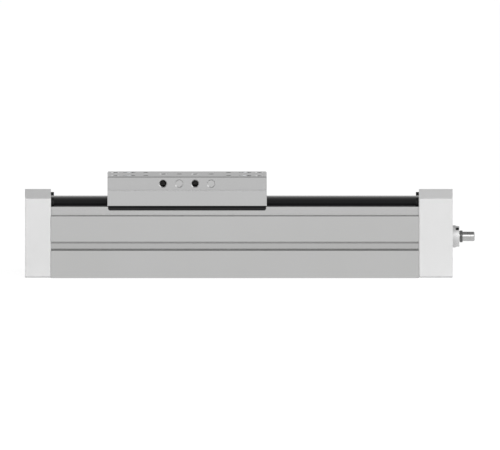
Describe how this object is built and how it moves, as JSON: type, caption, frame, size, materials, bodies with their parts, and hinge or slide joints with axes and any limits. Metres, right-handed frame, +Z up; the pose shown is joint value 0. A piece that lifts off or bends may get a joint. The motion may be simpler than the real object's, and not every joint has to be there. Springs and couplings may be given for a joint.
{
  "type": "ball screw linear axis",
  "caption": "Motorless linear axis: extruded aluminium profile with end caps, covered ball screw drive, guided slide with threaded table, and a plain drive shaft stub.",
  "frame": {"origin": "middle of the profile's underside", "axes": "+X along the axis towards the drive shaft, +Z up out of the slide table, -Y to the pictured side"},
  "size_m": [0.2823, 0.069, 0.0627],
  "materials": {
    "anodised_aluminium": "natural anodised, satin",
    "cap_finish": "cast, light grey coating",
    "black_cover": "matt black",
    "bearing_steel": "ground steel",
    "turned_steel": "bright turned steel",
    "screw_steel": "zinc plated",
    "rubber": "matt black",
    "seal_plastic": "matt black"
  },
  "bodies": {
    "base": {"base_profile": "anodised_aluminium", "end_cap_left": "cap_finish", "end_cap_right": "cap_finish", "top_cover": "black_cover", "guide_rail": "bearing_steel", "rail_screws": "screw_steel", "end_cap_screws_left": "screw_steel", "end_cap_screws_right": "screw_steel", "bumpers_left": "rubber", "bumpers_right": "rubber", "drive_bearing_outer_rings": "bearing_steel", "drive_bearing_ball_rings": "bearing_steel", "support_bearing_outer_ring": "bearing_steel", "support_bearing_ball_ring": "bearing_steel", "bearing_cover": "turned_steel", "bearing_cover_screws": "screw_steel"},
    "slide": {"slide_saddle": "anodised_aluminium", "slide_table": "anodised_aluminium", "table_screws": "screw_steel", "saddle_screws": "screw_steel", "side_seal_front": "seal_plastic", "side_seal_rear": "seal_plastic", "driver_block": "anodised_aluminium", "ball_nut": "turned_steel", "nut_flange_screws": "screw_steel", "nut_wipers": "seal_plastic", "guide_carriage_left": "bearing_steel", "guide_carriage_right": "bearing_steel", "carriage_end_caps": "seal_plastic", "carriage_screws": "screw_steel", "port_plugs": "anodised_aluminium", "locating_sleeves": "bearing_steel"},
    "screw": {"screw_shaft": "turned_steel", "drive_bearing_inner_rings": "bearing_steel", "support_bearing_inner_ring": "bearing_steel", "bearing_lock_nut": "turned_steel", "retaining_ring": "screw_steel", "shaft_seal_ring": "rubber"}
  },
  "joints": [
    {"name": "slide_travel", "type": "slide", "parent": "base", "child": "slide", "axis": [1, 0, 0], "range_m": [-0.0333, 0.0933]},
    {"name": "screw_spin", "type": "hinge", "parent": "base", "child": "screw", "pos_m": [0, 0, 0.0233], "axis": [1, 0, 0], "range_deg": [-3360, 1200]}
  ],
  "couplings": [
    {"joint": "screw_spin", "follows": "slide_travel", "rad_per_m": -628.32}
  ]
}
